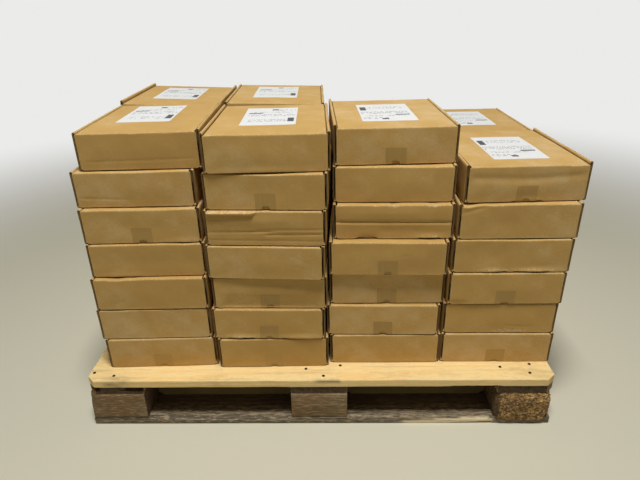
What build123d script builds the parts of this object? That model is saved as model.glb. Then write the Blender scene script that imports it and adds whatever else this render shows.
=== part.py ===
from build123d import *
import os

# Timber pallet loaded with two rows of closed mailer boxes, in millimetres.
# The origin is the middle of the pallet's footprint on the floor, +Z is up, and -Y is the front.

# Pallet sizes
pallet_length = 1200
pallet_width = 800
board_thickness = 22
wide_board = 145
narrow_board = 100
block_height = 78
corner_cut = 20
runner_bevel = 10
board_edge = 2

# Chip block at the front right corner, swollen, and sagging over the bottom board's front
chip_swell = 3
chip_corner = 12
chip_sag_low = 9
chip_sag_height = 45
chip_sag_depth = 6
chip_sag_round = 18

# Front end of the left cross board, split away in two places
split_ends = [(-600, -566), (-500, -455)]
split_height = 14
split_depth = 9

# Torn lower edge of the front bottom board, beside the chip block
tear_start = 215
tear_depth = 6
tear_height = 9

# Mailer box sizes
box_width = 286
box_depth = 338
box_height = 88
roll_thickness = 5.5
wall_setback = 1.5
wall_round = 1.5
lid_drop = 1
slit_width = 1.5
slit_depth = 5
fold_radius = 4
notch_radius = 9
notch_depth = 2

# Tape patch over the tuck panel, and sticker on a top lid
tape_width = 48
tape_height = 40
tape_thickness = 0.3
label_width = 132
label_depth = 205
label_thickness = 0.3

# How the two rows of stacks stand on the deck, measured from its right end and its front
column_gap = 8
right_overhang = 11
front_margin = 55
row_gap = 67
rear_settle = 1.5

# One entry a box, from the deck up: sideways shift, set-back, turn in degrees, tuck side to the front
front_stacks = [
    [(4, 5, 2, True), (-3, 8, 1.5, False), (-1, 8, 1, False), (1, 20, 1.5, False),
     (-2, 26, 1.5, True), (-8, 40, 1, False), (13, 51, 2, False)],
    [(3, 1, 1, True), (-5, 3, -1, True), (2, 8, -1, True), (-3, 0, -3, False),
     (2, 4, -2.5, False), (7, 10, -2.5, True), (15, 14, 1.5, False)],
    [(-1, 16, 0, False), (-8, 18, -1, True), (0, 28, -0.5, True), (-1, 15, -1.5, True),
     (10, 35, -1, False), (10, 50, -1, False), (13, 63, 2, True)],
    [(-7, 17, -0.5, True), (-7, 22, -0.5, False), (-2, 19, 0, True), (2, 24, -0.5, False),
     (9, 28, 0, False), (20, 42, 2, True)],
]
rear_stacks = [
    [(-9, 2, 0.5, True), (-12, 0, 0, False), (-8, 3, 1, False), (-13, 1, 0.5, True),
     (-11, 0, 1, False), (-10, 2, 0, True), (-12, 4, 1, False)],
    [(-4, 0, 0.5, False), (-7, 3, 1, True), (-3, 1, 0, False), (-6, 0, 1, True),
     (-5, 2, 1.5, True), (-8, 0, 1, False), (-5, 4, 1.5, False)],
    [(2, 1, 0, True), (5, 0, 0.5, False), (1, 3, -0.5, True), (4, 0, 0, False),
     (2, 2, 0.5, False), (3, 1, 0, True)],
    [(12, 0, 0, False), (15, 2, 0.5, True), (11, 1, 0, False), (16, 3, -0.5, False),
     (13, 0, 0.5, True), (14, 2, 1, False)],
]

# Top boxes: rise of the left and right rolled walls, lean sideways in degrees, middle of the sticker
top_walls = {"box_front_1_7": (1, 3), "box_front_2_7": (4, 2), "box_front_3_7": (6, 1),
             "box_front_4_6": (3, 5), "box_rear_1_7": (7, 7), "box_rear_2_7": (1, 2)}
top_lean = {"box_rear_1_7": 2.5, "box_rear_2_7": 2}
label_spots = {"box_front_1_7": (15, -43), "box_front_2_7": (2, -20), "box_front_3_7": (-6, -6),
               "box_front_4_6": (0, -14), "box_rear_1_7": (10, -20), "box_rear_2_7": (5, -20),
               "box_rear_4_6": (5, -15)}

# Heights and places that follow from the sizes
cross_bottom = board_thickness + block_height
deck_bottom = cross_bottom + board_thickness
deck_top = deck_bottom + board_thickness
column_x = (pallet_length - wide_board) / 2
edge_row = (pallet_width - narrow_board) / 2
deck_widths = [wide_board, narrow_board, wide_board, narrow_board, wide_board]
deck_gap = (pallet_width - sum(deck_widths)) / 4
last_column = pallet_length / 2 + right_overhang - box_width / 2


def save(piece, name):
    """Name a finished piece and write it as a STEP file."""
    piece.part.label = name
    export_step(piece.part, f"parts/{name}.step")


def cut_corners(piece):
    """Cut the upright edges that stand on the pallet's four corners."""
    corner = pallet_length / 2 + pallet_width / 2
    uprights = piece.edges().filter_by(Axis.Z)
    chamfer(uprights.filter_by(lambda edge: abs(edge.center().X) + abs(edge.center().Y) > corner - 1),
            length=corner_cut)


# Deck boards, laid along the pallet
with BuildPart() as deck_boards:
    front_edge = -pallet_width / 2
    for width in deck_widths:
        with BuildSketch(Plane.XY.offset(deck_bottom)):
            with Locations((0, front_edge + width / 2)):
                Rectangle(pallet_length, width)
        extrude(amount=board_thickness)
        front_edge += width + deck_gap
    cut_corners(deck_boards)
    long_edges = deck_boards.edges().filter_by(Axis.X).group_by(Axis.Z)[-1]
    chamfer(long_edges, length=board_edge)

# Cross boards, under the deck from front to back, the left one with its front end split away twice
with BuildPart() as cross_boards:
    with BuildSketch(Plane.XY.offset(cross_bottom)):
        with GridLocations(column_x, 0, 3, 1):
            Rectangle(wide_board, pallet_width)
    extrude(amount=board_thickness)
    cut_corners(cross_boards)
    with BuildSketch(Plane.XZ.offset(pallet_width / 2)):
        for left, right in split_ends:
            with Locations((left, deck_bottom)):
                Rectangle(right - left, split_height, align=(Align.MIN, Align.MAX))
    extrude(amount=-split_depth, mode=Mode.SUBTRACT)

# Sawn timber blocks in three rows, without the front right one
with BuildPart() as timber_blocks:
    with BuildSketch(Plane.XY.offset(board_thickness)):
        with Locations((-column_x, -edge_row), (0, -edge_row)):
            Rectangle(wide_board, narrow_board)
        with GridLocations(column_x, 0, 3, 1):
            Rectangle(wide_board, wide_board)
        with Locations((0, edge_row)):
            with GridLocations(column_x, 0, 3, 1):
                Rectangle(wide_board, narrow_board)
    extrude(amount=block_height)

# Pressed chip block, swollen at mid height and worn off at its corners
with BuildPart() as chip_block:
    swells = {0: chip_swell / 2, block_height / 3: chip_swell, block_height: 0}
    for rise, swell in swells.items():
        with BuildSketch(Plane.XY.offset(board_thickness + rise)) as outline:
            with Locations((column_x, -edge_row)):
                Rectangle(wide_board + 2 * swell, narrow_board + 2 * swell)
            chamfer(outline.vertices(), length=chip_corner)
    loft(ruled=True)
    # Chips that bulge down over the front of the bottom board
    with BuildSketch(Plane.XZ.offset(pallet_width / 2)) as chip_sag:
        with Locations((column_x, chip_sag_low)):
            Rectangle(wide_board, chip_sag_height, align=(Align.CENTER, Align.MIN))
        fillet(chip_sag.vertices(), radius=chip_sag_round)
    extrude(amount=chip_sag_depth)

# Bottom boards, with the top edges bevelled between the blocks for the fork truck's wheels
with BuildPart() as bottom_boards:
    with BuildSketch():
        with GridLocations(0, edge_row, 1, 3):
            Rectangle(pallet_length, narrow_board)
        Rectangle(pallet_length, wide_board)
    extrude(amount=board_thickness)
    board_halves = {-edge_row: narrow_board / 2, 0: wide_board / 2, edge_row: narrow_board / 2}
    for bay in (-1, 1):
        for middle, half in board_halves.items():
            for side in (-1, 1):
                edge = middle + side * half
                with BuildSketch(Plane.YZ.offset(bay * column_x / 2)):
                    with BuildLine():
                        Polyline((edge, board_thickness - runner_bevel), (edge, board_thickness),
                                 (edge - side * runner_bevel, board_thickness), close=True)
                    make_face()
                extrude(amount=(column_x - wide_board) / 2 - runner_bevel, both=True, mode=Mode.SUBTRACT)
    tear_end = column_x - wide_board / 2
    with BuildSketch(Plane.XZ.offset(pallet_width / 2)):
        with BuildLine():
            Spline((tear_start, 0), ((tear_start + tear_end) / 2, tear_height * 0.7), (tear_end, tear_height))
            Polyline((tear_end, tear_height), (tear_end, 0), (tear_start, 0))
        make_face()
    extrude(amount=-tear_depth, mode=Mode.SUBTRACT)


def seat_plane(name, row, column, level, place):
    """Plane of a box's base: the origin is its middle, and the tuck side is at the plane's -Y."""
    shift, set_back, turn, tuck_forward = place
    x = last_column - (len(front_stacks) - column) * (box_width + column_gap) + shift
    y = front_margin - pallet_width / 2 + set_back
    z = deck_top + level * box_height
    if row == "rear":
        y += box_depth + row_gap
        z -= level * rear_settle
    seat = Plane(origin=(x, y, z)).rotated((0, 0, turn))
    seat.origin += seat.y_dir * box_depth / 2
    hinge = seat.origin - seat.x_dir * box_width / 2
    across = seat.x_dir.rotate(Axis((0, 0, 0), seat.y_dir), -top_lean.get(name, 0))
    seat = Plane(origin=hinge + across * box_width / 2, x_dir=across, z_dir=across.cross(seat.y_dir))
    return seat if tuck_forward else seat.rotated((0, 0, 180))


def face_plane(seat, y):
    """Upright plane across a box at y on its seat, facing its tuck side."""
    return Plane(origin=seat.from_local_coords((0, y, 0)), x_dir=seat.x_dir, z_dir=-seat.y_dir)


def mailer_box(seat, height, left_wall, right_wall):
    """One closed mailer: rolled side walls, and between them the lid folded down into its end panels."""
    half = box_width / 2
    inner = half - roll_thickness
    lid = height - lid_drop
    slit_floor = lid - slit_depth
    with BuildPart() as box:
        # Section across the box: wall, slit, lid, slit and wall, with the walls' top folds eased
        with BuildSketch(face_plane(seat, box_depth / 2 - wall_setback)) as section:
            with BuildLine():
                Polyline((-half, 0), (-half, height + left_wall), (-inner, height + left_wall),
                         (-inner, slit_floor), (-inner + slit_width, slit_floor),
                         (-inner + slit_width, lid), (inner - slit_width, lid),
                         (inner - slit_width, slit_floor), (inner, slit_floor),
                         (inner, height + right_wall), (half, height + right_wall), (half, 0), close=True)
            make_face()
            chamfer(section.vertices().filter_by(lambda corner: abs(corner.X) > inner + 1 and corner.Y > lid),
                    length=wall_round)
        extrude(amount=box_depth - 2 * wall_setback)
        # Lid, tuck panel and hinge panel, a little proud of the walls' ends
        with BuildSketch(face_plane(seat, box_depth / 2)):
            Rectangle(2 * (inner - slit_width), lid, align=(Align.CENTER, Align.MIN))
        extrude(amount=box_depth)
        # Upright slits that part the two end panels from the walls
        with BuildSketch(seat):
            with GridLocations(2 * inner - slit_width, box_depth - slit_depth, 2, 2):
                Rectangle(slit_width, slit_depth)
        extrude(amount=height, mode=Mode.SUBTRACT)
        # Half-moon thumb notch at the foot of the tuck panel
        with BuildSketch(face_plane(seat, -box_depth / 2)):
            Circle(notch_radius)
        extrude(amount=-notch_depth, mode=Mode.SUBTRACT)
        # Folds along the front and the back of the lid
        ends = [seat.from_local_coords((0, side * box_depth / 2, lid)) for side in (-1, 1)]
        folds = [box.edges().sort_by(lambda edge: (edge.center() - end).length)[0] for end in ends]
        fillet(folds, radius=fold_radius)
    return box


os.makedirs("parts", exist_ok=True)
for piece, name in ((deck_boards, "deck_boards"), (cross_boards, "cross_boards"),
                    (timber_blocks, "timber_blocks"), (chip_block, "chip_block"),
                    (bottom_boards, "bottom_boards")):
    save(piece, name)

# The boxes, stack by stack
seats = {}
for row, stacks in (("front", front_stacks), ("rear", rear_stacks)):
    height = box_height if row == "front" else box_height - rear_settle
    for column, stack in enumerate(stacks, start=1):
        for level, place in enumerate(stack):
            name = f"box_{row}_{column}_{level + 1}"
            seats[name] = (seat_plane(name, row, column, level, place), height)
            walls = top_walls.get(name, (0, 0))
            if not place[3]:
                walls = walls[::-1]
            save(mailer_box(*seats[name], *walls), name)

# One tape patch at the foot of each tuck panel
with BuildPart() as tapes:
    for seat, height in seats.values():
        with BuildSketch(face_plane(seat, -box_depth / 2)):
            Rectangle(tape_width, tape_height, align=(Align.CENTER, Align.MIN))
        extrude(amount=tape_thickness)
save(tapes, "tapes")

# Stickers on the lids of the top boxes
with BuildPart() as labels:
    for name, spot in label_spots.items():
        seat, height = seats[name]
        with BuildSketch(seat.offset(height - lid_drop)):
            with Locations(spot):
                Rectangle(label_width, label_depth)
        extrude(amount=label_thickness)
save(labels, "labels")
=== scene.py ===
import math
from types import SimpleNamespace

import bmesh
import bpy
import numpy as np
from bpy.props import FloatProperty, FloatVectorProperty, PointerProperty
from mathutils import Matrix, Vector, noise


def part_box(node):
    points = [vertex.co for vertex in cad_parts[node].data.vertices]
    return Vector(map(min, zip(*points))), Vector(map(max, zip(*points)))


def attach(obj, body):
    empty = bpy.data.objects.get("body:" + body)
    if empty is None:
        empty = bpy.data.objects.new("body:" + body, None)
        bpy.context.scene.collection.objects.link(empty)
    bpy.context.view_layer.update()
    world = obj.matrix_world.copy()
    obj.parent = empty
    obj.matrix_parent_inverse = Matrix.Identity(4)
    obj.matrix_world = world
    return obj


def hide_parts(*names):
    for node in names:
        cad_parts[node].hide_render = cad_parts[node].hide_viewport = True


bl_info = {
    "name": "Pallet Load of Mailer Boxes",
    "version": (1, 0, 0),
    "blender": (4, 5, 0),
    "location": "3D View > Sidebar > Pallet Load",
    "description": "Builds a timber pallet loaded with folded mailer boxes around its packed model",
    "category": "Object",
}

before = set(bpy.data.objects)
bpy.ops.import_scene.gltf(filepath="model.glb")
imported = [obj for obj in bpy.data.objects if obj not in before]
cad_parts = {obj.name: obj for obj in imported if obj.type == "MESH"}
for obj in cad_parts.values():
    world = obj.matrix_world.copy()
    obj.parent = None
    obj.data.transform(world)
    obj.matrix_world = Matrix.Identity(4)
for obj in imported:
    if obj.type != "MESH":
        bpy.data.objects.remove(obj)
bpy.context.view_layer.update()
MM = 0.001


# Shader sums

class Wire:
    """A shader socket that can be used in sums."""

    def __init__(self, tree, socket):
        self.tree = tree
        self.socket = socket

    def link(self, made, links):
        """Set a node's inputs by name or number, each to a wire or to a plain value."""
        for name, value in links.items():
            if isinstance(value, Wire):
                self.tree.links.new(value.socket, made.inputs[name])
            else:
                made.inputs[name].default_value = value

    def node(self, kind, settings=None, links=None, output=0):
        """Any other node: its settings first, then its inputs."""
        made = self.tree.nodes.new(kind)
        for name, value in (settings or {}).items():
            setattr(made, name, value)
        self.link(made, links or {})
        return Wire(self.tree, made.outputs[output])

    def math(self, operation, *others):
        return self.node("ShaderNodeMath", {"operation": operation}, dict(enumerate((self, *others))))

    def __add__(self, other):
        return self.math("ADD", other)

    def __sub__(self, other):
        return self.math("SUBTRACT", other)

    def __mul__(self, other):
        return self.math("MULTIPLY", other)

    def __rsub__(self, other):
        return (self * -1) + other

    __radd__ = __add__
    __rmul__ = __mul__

    def clamped(self):
        return self.node("ShaderNodeClamp", None, {0: self})

    def above(self, edge, soft):
        """0 below edge, 1 above edge plus soft, and smooth between."""
        settings = {"interpolation_type": "SMOOTHSTEP"}
        return self.node("ShaderNodeMapRange", settings, {0: self, 1: edge, 2: edge + soft})

    def wave(self, pitch):
        """A sine that repeats at each pitch."""
        return (self * (2 * math.pi / pitch)).math("SINE")

    def split(self):
        """The x, y and z of a vector."""
        parts = self.node("ShaderNodeSeparateXYZ", None, {0: self}).socket.node.outputs
        return [Wire(self.tree, part) for part in parts]

    def scaled(self, size):
        """A vector times three numbers."""
        return self.node("ShaderNodeVectorMath", {"operation": "MULTIPLY"}, {0: self, 1: size})

    def plus(self, other):
        """A vector plus a vector."""
        return self.node("ShaderNodeVectorMath", {"operation": "ADD"}, {0: self, 1: other})

    def noise(self, scale, detail=3.0, roughness=0.5, output=0):
        links = {"Vector": self, "Scale": scale, "Detail": detail, "Roughness": roughness}
        return self.node("ShaderNodeTexNoise", None, links, output)

    def streaks(self, along, across, detail, roughness):
        """Noise drawn out along the grain."""
        return self.scaled((along, across, across)).noise(1.0, detail, roughness)

    def cells(self, scale, feature="F1", output=0):
        links = {"Vector": self, "Scale": scale}
        return self.node("ShaderNodeTexVoronoi", {"feature": feature}, links, output)

    def attribute(self, name, output="Vector"):
        """One of the mesh's own attributes."""
        return self.node("ShaderNodeAttribute", {"attribute_name": name}, None, output)

    def ramp(self, *stops):
        """Colours laid along this wire's values."""
        made = self.node("ShaderNodeValToRGB", None, {0: self})
        elements = made.socket.node.color_ramp.elements
        while len(elements) < len(stops):
            elements.new(1.0)
        for element, (place, colour) in zip(elements, stops):
            element.position = place
            element.color = colour
        return made


def shade(colour, share=1.0):
    """A colour as shaders take it, at a share of its brightness."""
    return (*[part * share for part in colour], 1.0)


def layered(base, *layers):
    """base with each colour laid over it in turn, by the mask beside it."""
    for mask, colour in layers:
        base = mask.node("ShaderNodeMix", {"data_type": "RGBA"}, {0: mask, 6: base, 7: colour}, 2)
    return base


def new_material(name):
    """A material, and a wire on its Object coordinates."""
    material = bpy.data.materials.new(name)
    material.use_nodes = True
    return material, Wire(material.node_tree, None).node("ShaderNodeTexCoord", output="Object")


def finish_material(material, colour, roughness, height, distance, strength, specular=0.5, metallic=0.0):
    """Link what varies to the material's shader, with a bump."""
    bump = colour.node("ShaderNodeBump", None, {"Height": height, "Distance": distance, "Strength": strength})
    colour.link(material.node_tree.nodes["Principled BSDF"],
                {"Base Color": colour, "Roughness": roughness, "Normal": bump,
                 "Specular IOR Level": specular, "Metallic": metallic})
    return material


# Materials

# Pitches in metres
FLUTES = 0.0066
RINGS = 0.0075
SAW_MARKS = 0.0040

# The chip block's inner side along the pallet, in metres: the side that gets painted shade
INNER_SIDE = 0.461

# Ramp stops for freshly torn wood, and one dark colour for dirt and for painted shade
TORN_WOOD = ((0.3, shade((0.5, 0.36, 0.18))), (0.45, shade((0.86, 0.69, 0.42))),
             (0.7, shade((0.95, 0.83, 0.6))))
DIRT_AND_SHADE = shade((0.06, 0.032, 0.013))


def kraft(colour, worn_and_highlight, dark):
    """Brown kraft liner over flutes: fibres, mottling, washboard, scuffs, and rubbed folds that also carry a
    painted highlight.
    """
    material, place = new_material("kraft_liner")
    board = place.attribute("board")
    wear = place.attribute("wear", "Fac")
    tone = place.attribute("tone", "Fac")
    across, _, _ = board.split()
    mottle = board.noise(14, 4, 0.6)
    fibres = board.scaled((1.0, 0.45, 1.0)).noise(430, 3, 0.7)
    clouds = place.noise(3.1, 2, 0.5)
    flutes = (across + mottle * 0.0008).wave(FLUTES)
    depth = mottle * 0.5 + clouds * 0.35 + fibres * 0.36 + flutes * 0.006 + tone
    flecks = board.cells(420).above(0.035, -0.02) * board.noise(60, 2).above(0.56, 0.06)
    # Rubbed wear, and a painted highlight on folds and edges, in the lighter worn colour
    rub_and_highlight = (wear * board.noise(120, 3, 0.7).above(0.42, 0.25)).clamped()
    scuffs = board.scaled((0.4, 1.6, 1.0)).noise(75, 4, 0.75).above(0.66, 0.08)
    base = layered(depth.ramp((0.3, shade(dark)), (0.62, shade(colour)), (0.95, shade(worn_and_highlight))),
                   (flecks * 0.35, shade(dark, 0.45)), (rub_and_highlight * 0.6, shade(worn_and_highlight)), (scuffs * 0.22, shade(worn_and_highlight)))
    height = flutes * 0.045 + fibres * 0.3 + mottle * 0.5
    return finish_material(material, base, 0.62 + fibres * 0.2 + rub_and_highlight * 0.12, height, 0.0004, 0.7, 0.40)


def fluted_edge(kraft_colour, kraft_dark):
    """The cut edge of corrugated board: two liners and the wave of paper between them, with painted shade in
    the open flutes.
    """
    material, place = new_material("cut_corrugated_edge")
    across, along, depth = place.attribute("board").split()
    wave = (along + across).wave(FLUTES) * 0.0008 + 0.0013
    paper_line = (depth - wave).math("ABSOLUTE").above(0.0005, -0.0003)
    liners = (depth - 0.0013).math("ABSOLUTE").above(0.0009, 0.0002)
    shown = (paper_line + liners).clamped()
    # The dark between the paper lines is painted shade in the open flutes
    base = layered(shade(kraft_dark, 0.12), (shown, shade(kraft_colour, 0.55)))
    return finish_material(material, base, 0.85, shown, 0.0008, 0.8)


def brown_tape(colour, under):
    """Brown sealing tape: a smooth film with faint drag lines and small trapped bubbles."""
    material, place = new_material("brown_tape_film")
    board = place.attribute("board")
    lines = board.scaled((1.0, 0.06, 1.0)).noise(350, 2, 0.6)
    bubbles = board.cells(260).above(0.22, -0.12) * board.noise(30, 2).above(0.5, 0.1)
    film = (lines * 0.3 + bubbles * 0.15 + 0.2).ramp((0.2, shade(colour, 0.8)), (0.5, shade(colour)))
    base = layered(film, (place.attribute("clear", "Fac"), shade(under)))
    return finish_material(material, base, 0.36 + lines * 0.16, lines * 0.25 + bubbles * 0.5, 0.0002, 0.4)


def mask_box(u, v, left, right, low, high, soft=0.004):
    """1 inside a rectangle of the sticker, 0 outside."""
    return (u.above(left, soft) * (1 - u.above(right, soft))
            * v.above(low, soft) * (1 - v.above(high, soft)))


def label_paper(white, ink):
    """White sticker paper with plain grey rules and one dark square."""
    material, place = new_material("sticker_paper")
    sticker = place.attribute("sticker")
    u, v, _ = sticker.split()
    paper = place.noise(45, 3, 0.6)
    breaks = sticker.scaled((34.0, 21.0, 1.0)).noise(1.0, 0).above(0.5, 0.04)
    rows = v.wave(1 / 21).above(-0.1, 0.3)
    faint = sum(mask_box(u, v, *sides) for sides in (
        (0.12, 0.94, 0.16, 0.30), (0.07, 0.97, 0.46, 0.60),
        (0.16, 0.92, 0.68, 0.74), (0.50, 0.96, 0.80, 0.90)))
    bold = sum(mask_box(u, v, *sides) for sides in ((0.07, 0.34, 0.645, 0.69), (0.50, 0.62, 0.85, 0.91)))
    square = mask_box(u, v, 0.84, 0.955, 0.17, 0.38, 0.002)
    dark = shade(ink, 0.1)
    base = layered(paper.ramp((0.3, shade(white, 0.94)), (0.7, shade(white))),
                   ((faint * breaks * rows).clamped(), shade(ink)), (bold.clamped(), dark), (square, dark))
    return finish_material(material, base, 0.5 + paper * 0.1, paper, 0.0002, 0.3)


def timber(name, fresh, ring, weathered, weathering, stain=0.0, damp=0.0):
    """Sawn softwood along each board's grain, with knots, end rings, checks, weathering and painted shade."""
    material, place = new_material(name)
    grain = place.attribute("grain")
    end = place.attribute("end", "Fac")
    torn = place.attribute("torn", "Fac")
    sway = grain.scaled((1.6, 14.0, 14.0)).noise(1.1, 3, 0.55, output=1).scaled((0.0, 0.030, 0.030))
    along, _, _ = grain.split()
    _, ring_across, ring_deep = grain.scaled((0.05, 1.0, 1.0)).plus(sway).split()
    # The heart of the log lies outside the board
    ring_across, ring_deep = ring_across + 0.05, ring_deep + 0.11
    radius = (ring_across * ring_across + ring_deep * ring_deep).math("SQRT")
    late = (radius.wave(RINGS) * 0.5 + 0.5).above(0.55, 0.4)
    fibre = grain.streaks(9.0, 420.0, 3, 0.6)
    mottle = place.noise(9, 4, 0.6)
    knots = grain.scaled((3.2, 8.5, 8.5)).cells(1.0)
    knot = knots.above(0.15, -0.05)
    halo = knots.above(0.30, -0.16) * (1 - knot)
    patches = place.noise(6.5, 5, 0.62).above(0.62 - weathering * 0.45, 0.25)
    streak = grain.streaks(2.0, 90.0, 4, 0.6)
    grey = streak.ramp((0.34, shade(weathered, 0.28)), (0.5, shade(weathered)), (0.68, shade(weathered, 1.8)))
    base = layered(
        (fibre * 0.5 + mottle * 0.6).ramp((0.35, shade(fresh, 0.93)), (0.7, shade(fresh))),
        (late * (0.62 + end * 0.3), shade(ring)),
        (halo * 0.45, shade(ring)), (knot * 0.85, shade(ring, 0.42)),
        ((patches * (weathering * 1.25)).clamped(), grey))
    if stain:
        blots = place.plus((0.31, 0.0, 0.0)).scaled((1.0, 2.2, 2.2)).noise(5.5, 5, 0.7).above(0.55, 0.12)
        base = layered(base, (blots * stain, shade(ring, 0.5)))
    if damp:
        _, _, height = place.split()
        low = 1 - (height + mottle * 0.02).above(0.012, 0.05)
        base = layered(base, (low * damp, shade(weathered, 0.45)))
    fuzz = grain.streaks(45.0, 260.0, 2, 0.6)
    rough = 0.03 + weathering * 0.75
    checks = grain.streaks(5.0, 130.0, 2, 0.5).above(0.66, 0.03)
    base = layered(
        base,
        ((1 - fuzz.above(0.42, 0.06)) * rough, shade(weathered, 0.3)),
        (fuzz.above(0.57, 0.06) * rough, shade(weathered, 1.9)),
        (torn.clamped(), grain.streaks(14.0, 330.0, 3, 0.7).ramp(*TORN_WOOD)),
        # Values below 0 give painted shade in cracks, splits and deep under the deck, and a few real stains
        ((torn * -1).clamped(), DIRT_AND_SHADE),
        # End grain is darker, and here the darkening is made stronger as painted shade on the boards' ends
        ((end * weathering * 1.5).clamped(), streak.ramp((0.35, shade(ring, 0.15)), (0.7, shade(ring, 0.5)))),
        (checks * (0.1 + weathering * 0.6), shade(weathered, 0.3)))
    roughness = 0.68 + fibre * 0.15 + weathering * 0.08
    saw = along.wave(SAW_MARKS) * 0.5 + 0.5
    height = fibre * 0.5 + late * 0.35 + saw * 0.12 - checks * 1.2
    return finish_material(material, base, roughness, height, 0.0007, 0.8, 0.3)


def pressed_chips(pale, deep, grime_and_shade):
    """Chips pressed with glue: overlapping flakes of mixed browns, darker where damp, with painted shade on
    the block's inner side.
    """
    material, place = new_material("pressed_wood_chips")
    turned = place.scaled((1.0, 1.0, 1.7))
    _, lightness, _ = turned.cells(190, output=1).split()
    edge = turned.cells(190, "DISTANCE_TO_EDGE").above(0.05, -0.04)
    fibre = place.scaled((260.0, 260.0, 40.0)).noise(1.0, 3, 0.6)
    soak = place.noise(11, 4, 0.6).above(0.42, 0.22)
    x, _, _ = place.split()
    # Painted shade on the side that faces into the pallet
    inner = 1 - x.above(INNER_SIDE, 0.008)
    tone = lightness * 0.75 + fibre * 0.3
    base = layered(tone.ramp((0.2, shade(grime_and_shade)), (0.55, shade(deep)), (0.98, shade(pale))),
                   (edge * 0.7, shade(grime_and_shade, 0.5)), (soak * 0.4, shade(grime_and_shade)),
                   (inner * 0.75, shade(grime_and_shade, 0.4)))
    height = lightness * 1.4 + fibre * 0.5 - edge * 0.9
    return finish_material(material, base, 0.82, height, 0.0016, 1.0)


def nail_steel(bare, rust):
    """Flat nail heads, dull and rusted."""
    material, place = new_material("nail_steel")
    mask = place.noise(260, 4, 0.7).above(0.45, 0.2)
    base = layered(shade(bare), (mask, shade(rust)))
    return finish_material(material, base, 0.7 + mask * 0.2, mask, 0.0002, 0.6, 0.15, 0.1)


def floor_paint(colour, haze):
    """A plain pale floor. Far from the load the camera and mirrors see it fade into the sky's colour."""
    material, place = new_material("pale_floor")
    nodes = material.node_tree.nodes
    shader = nodes["Principled BSDF"]
    place.link(shader, {"Base Color": shade(colour), "Roughness": 0.9, "Specular IOR Level": 0.1})
    x, y, _ = place.split()
    far = (x * x + y * y).math("SQRT").above(1.3, 2.4)
    glow = place.node("ShaderNodeEmission", None, {"Color": shade(haze)})
    links = {0: far * seen_rays(place), 1: Wire(place.tree, shader.outputs[0]), 2: glow}
    place.link(nodes["Material Output"], {"Surface": place.node("ShaderNodeMixShader", None, links)})
    return material


def seen_rays(wire):
    """1 for rays from the camera, from mirrors and through glass."""
    camera, glossy, passed = [wire.node("ShaderNodeLightPath", output=name)
                              for name in ("Is Camera Ray", "Is Glossy Ray", "Is Transmission Ray")]
    return camera.math("MAXIMUM", glossy).math("MAXIMUM", passed)


# Meshes

def smooth_step(value):
    held = np.clip(value, 0.0, 1.0)
    return held * held * (3 - 2 * held)


def hill(value, centre, spread):
    """A smooth bump of height 1 at centre."""
    return np.exp(-((value - centre) / spread) ** 2)


def ripple(points, seed, octaves=2):
    """Smooth noise between about -1 and 1 at each point, the same on each run."""
    shift = Vector((seed * 7.31, seed * 3.17, seed * 5.53))
    values = [noise.fractal(Vector(point) + shift, 0.8, 2.0, octaves) for point in points.reshape(-1, 3)]
    return np.array(values).reshape(points.shape[:-1])


def extent(points):
    """The lowest and highest corners of some points."""
    return points.min(0), points.max(0)


def quads(index):
    """The four-sided faces of a grid of point numbers."""
    sides = [index[:-1, :-1], index[:-1, 1:], index[1:, 1:], index[1:, :-1]]
    return np.stack(sides, -1).reshape(-1, 4)


def closed(index):
    """A grid of point numbers with its first column again at its end."""
    return np.concatenate([index, index[:, :1]], 1)


def add_object(name, data):
    """A new object in the scene."""
    made = bpy.data.objects.new(name, data)
    bpy.context.scene.collection.objects.link(made)
    return made


# Edges that turn by more degrees than this stay sharp
SHARP_ANGLE = 38


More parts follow.
